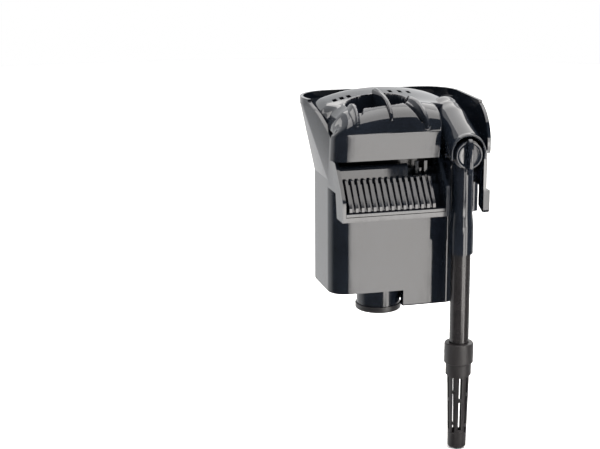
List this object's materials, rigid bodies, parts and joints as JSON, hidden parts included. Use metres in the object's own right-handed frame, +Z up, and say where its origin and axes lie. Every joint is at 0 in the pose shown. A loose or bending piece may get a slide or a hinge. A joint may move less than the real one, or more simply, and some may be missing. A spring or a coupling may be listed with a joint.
{
  "type": "hang on back filter",
  "caption": "Hang-on-back aquarium filter with a lift-off lid, basket of media, ribbed spillway, underslung pump and an intake tube with a flow knob and strainer.",
  "frame": {"origin": "on the seat that rests on the tank's rim, at the outer face of the glass and the middle of the front panel", "axes": "+Z up, +X along the tank wall to the intake side, +Y away from the tank"},
  "size_m": [0.1098, 0.0988, 0.236],
  "materials": {
    "gloss_black": "high gloss moulded",
    "smoke_black": "satin moulded",
    "pump_black": "fine satin",
    "rubber": "matt",
    "sponge": "open-cell foam",
    "carbon_fleece": "white fleece",
    "core_steel": "laminated",
    "bobbin": "satin",
    "copper_wire": "enamelled wire",
    "shaft_steel": "polished",
    "magnet": "satin",
    "impeller_white": "satin"
  },
  "bodies": {
    "housing": {"housing": "gloss_black", "spillway_grate": "gloss_black", "intake_u_tube": "gloss_black", "spindle_seal": "rubber", "suction_duct": "pump_black", "duct_seal": "rubber"},
    "lid": {"lid": "gloss_black"},
    "basket": {"media_basket": "pump_black", "sponge_block": "sponge", "carbon_insert": "carbon_fleece"},
    "flow_valve": {"flow_knob": "gloss_black", "valve_spindle": "pump_black"},
    "extension": {"extension_tube": "smoke_black"},
    "strainer": {"strainer_socket": "smoke_black", "strainer_basket": "smoke_black"},
    "pump": {"motor_case": "pump_black", "motor_cap": "pump_black", "motor_seal": "rubber", "cord_gland": "rubber", "stator_core": "core_steel", "coil_bobbin": "bobbin", "stator_winding": "copper_wire", "impeller_cover": "pump_black", "upper_bushing": "rubber", "lower_bushing": "rubber", "rotor_shaft": "shaft_steel"},
    "rotor": {"rotor_magnet": "magnet", "impeller": "impeller_white"}
  },
  "joints": [
    {"name": "lid_lift", "type": "slide", "parent": "housing", "child": "lid", "axis": [0, 0, 1], "range_m": [0, 0.09]},
    {"name": "basket_lift", "type": "slide", "parent": "housing", "child": "basket", "axis": [0, 0, 1], "range_m": [0, 0.045]},
    {"name": "flow_knob_turn", "type": "hinge", "parent": "housing", "child": "flow_valve", "pos_m": [0.0376, -0.0265, 0.024], "axis": [0, 1, 0], "range_deg": [0, 90]},
    {"name": "extension_pull", "type": "slide", "parent": "housing", "child": "extension", "axis": [0, 0, -1], "range_m": [0, 0.018]},
    {"name": "strainer_pull", "type": "slide", "parent": "extension", "child": "strainer", "axis": [0, 0, -1], "range_m": [0, 0.01]},
    {"name": "pump_twist", "type": "hinge", "parent": "housing", "child": "pump", "pos_m": [-0.007, 0.017, -0.07], "axis": [0, 0, 1], "range_deg": [0, 25]},
    {"name": "rotor_spin", "type": "hinge", "parent": "pump", "child": "rotor", "pos_m": [-0.007, 0.017, -0.06], "axis": [0, 0, 1], "continuous": true}
  ],
  "couplings": [
    {"joint": "basket_lift", "follows": "lid_lift", "ratio": 0.5}
  ]
}
